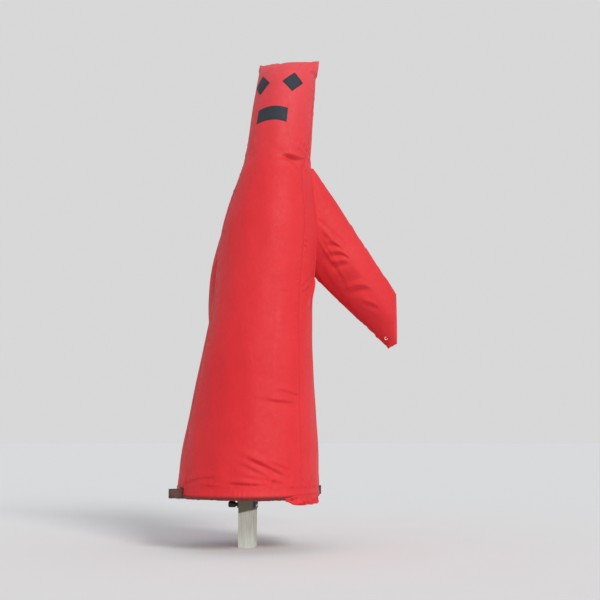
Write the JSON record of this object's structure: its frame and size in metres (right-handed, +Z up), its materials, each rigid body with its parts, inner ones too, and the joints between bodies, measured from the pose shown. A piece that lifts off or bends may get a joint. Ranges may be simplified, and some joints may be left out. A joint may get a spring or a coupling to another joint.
{
  "type": "wind figure sock on a post",
  "caption": "Wind-filled fabric figure with a head, arms and sewn face, sewn to a hoop that turns on a timber post.",
  "frame": {"origin": "middle of the post's foot", "axes": "+Z up the post, -Y the way the figure faces, +X to the figure's left"},
  "size_m": [1.0081, 0.8885, 2.33],
  "materials": {
    "red_nylon": "ripstop cloth with a soft sheen, a little faded",
    "charcoal_nylon": "matt woven patch",
    "pale_timber": "sawn, treated and weathered",
    "brown_timber": "stained and weathered",
    "black_steel": "black paint, worn at the edges",
    "zinc_steel": "zinc plated",
    "brown_pipe": "smooth extruded pipe",
    "black_plastic": "moulded",
    "white_nylon": "moulded"
  },
  "bodies": {
    "pole": {"post": "pale_timber", "saddle_bracket": "black_steel", "spindle": "zinc_steel", "clamp_bolt": "zinc_steel", "knob_washer": "zinc_steel"},
    "knob": {"clamp_knob": "black_plastic"},
    "swivel": {"thrust_washer": "white_nylon", "crossbar": "brown_timber", "swivel_bush": "white_nylon", "top_washer": "zinc_steel", "lock_nut": "zinc_steel", "hoop": "brown_pipe", "hoop_spigot": "zinc_steel", "hem_back": "red_nylon", "hem_front": "red_nylon", "skirt_front": "red_nylon", "skirt_back": "red_nylon", "waist_band": "red_nylon", "keeper_left": "zinc_steel", "keeper_right": "zinc_steel", "keeper_screw_left_inner": "zinc_steel", "keeper_screw_left_outer": "zinc_steel", "keeper_screw_right_inner": "zinc_steel", "keeper_screw_right_outer": "zinc_steel"},
    "flap": {"hem_flap": "red_nylon"},
    "torso": {"torso_front": "red_nylon", "torso_back": "red_nylon", "neck_band": "red_nylon", "shoulder_band_left": "red_nylon", "shoulder_band_right": "red_nylon"},
    "head": {"head_front": "red_nylon", "head_back": "red_nylon", "eye_patch_left": "charcoal_nylon", "eye_patch_right": "charcoal_nylon", "mouth_patch": "charcoal_nylon"},
    "arm_left": {"sleeve_left": "red_nylon"},
    "arm_right": {"sleeve_right": "red_nylon"}
  },
  "joints": [
    {"name": "knob_turn", "type": "hinge", "parent": "pole", "child": "knob", "pos_m": [-0.06, 0, 0.186], "axis": [1, 0, 0], "continuous": true},
    {"name": "swivel_yaw", "type": "hinge", "parent": "pole", "child": "swivel", "pos_m": [0, 0, 0.2203], "axis": [0, 0, 1], "continuous": true},
    {"name": "flap_flutter", "type": "hinge", "parent": "swivel", "child": "flap", "pos_m": [0.26314, -0.1227, 0.2203], "axis": [0.4226, 0.9063, 0], "range_deg": [-35, 25]},
    {"name": "waist_bow", "type": "hinge", "parent": "swivel", "child": "torso", "pos_m": [0.02147, 0.03691, 0.7], "axis": [1, 0, 0], "range_deg": [-12, 12], "stiffness_Nm_per_rad": 150, "deforming": ["waist_band"]},
    {"name": "neck_nod", "type": "hinge", "parent": "torso", "child": "head", "pos_m": [0.10056, 0.13955, 1.86], "axis": [1, 0, 0], "range_deg": [-15, 20], "stiffness_Nm_per_rad": 15, "deforming": ["neck_band"]},
    {"name": "arm_left_swing", "type": "hinge", "parent": "torso", "child": "arm_left", "pos_m": [0.26797, 0.17888, 1.517], "axis": [0, 0, 1], "range_deg": [-50, 50], "deforming": ["shoulder_band_left"]},
    {"name": "arm_right_swing", "type": "hinge", "parent": "torso", "child": "arm_right", "pos_m": [-0.09552, 0.24953, 1.517], "axis": [0, 0, 1], "range_deg": [-30, 40], "deforming": ["shoulder_band_right"]}
  ]
}
